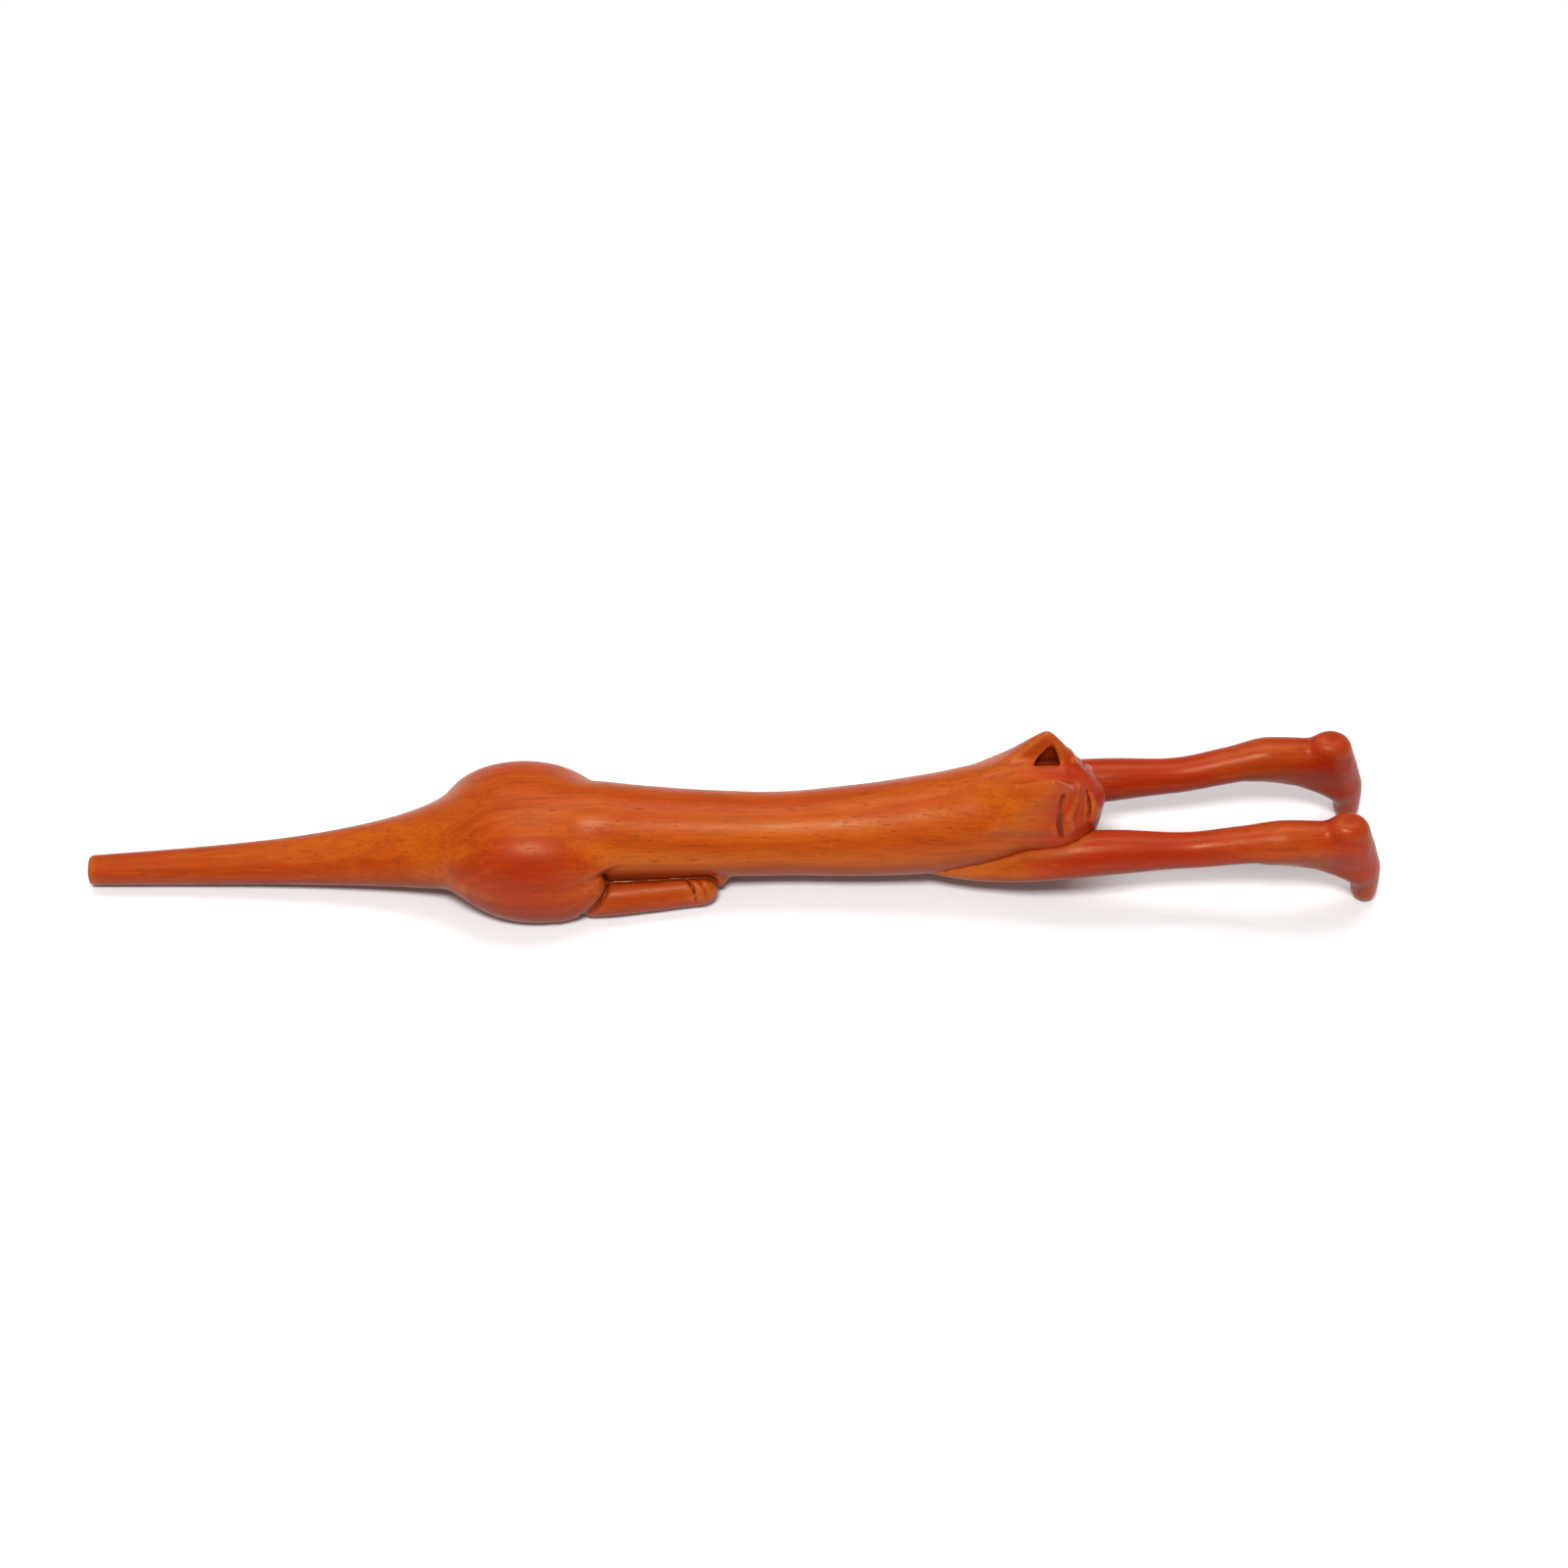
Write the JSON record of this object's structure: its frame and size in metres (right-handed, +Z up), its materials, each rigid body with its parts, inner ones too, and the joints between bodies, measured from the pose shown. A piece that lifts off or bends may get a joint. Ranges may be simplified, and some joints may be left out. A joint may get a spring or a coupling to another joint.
{
  "type": "ocarina",
  "caption": "Wooden duct flute carved as a stretched-out cat: the tail is the mouthpiece, the torso holds the air chamber, and the tone holes are under the belly.",
  "frame": {"origin": "under the middle of the object's overall length and width, on the surface it lies on", "axes": "+X from the tail mouthpiece to the forepaws, +Y to the cat's left, +Z up"},
  "size_m": [0.3577, 0.0462, 0.0444],
  "materials": {
    "stained_wood": "orange-brown stain, sanded and waxed to a soft sheen",
    "red_stained_wood": "redder stain, sanded and waxed to a soft sheen",
    "bare_wood": "plain unstained hardwood",
    "bamboo": "plain split bamboo"
  },
  "bodies": {
    "root": {"body_shell": "stained_wood", "belly_plate": "stained_wood", "tail_mouthpiece": "stained_wood", "fipple_block": "bare_wood", "left_foreleg": "red_stained_wood", "right_foreleg": "red_stained_wood", "foreleg_dowels": "bare_wood", "belly_plate_pins": "bamboo"}
  },
  "joints": []
}
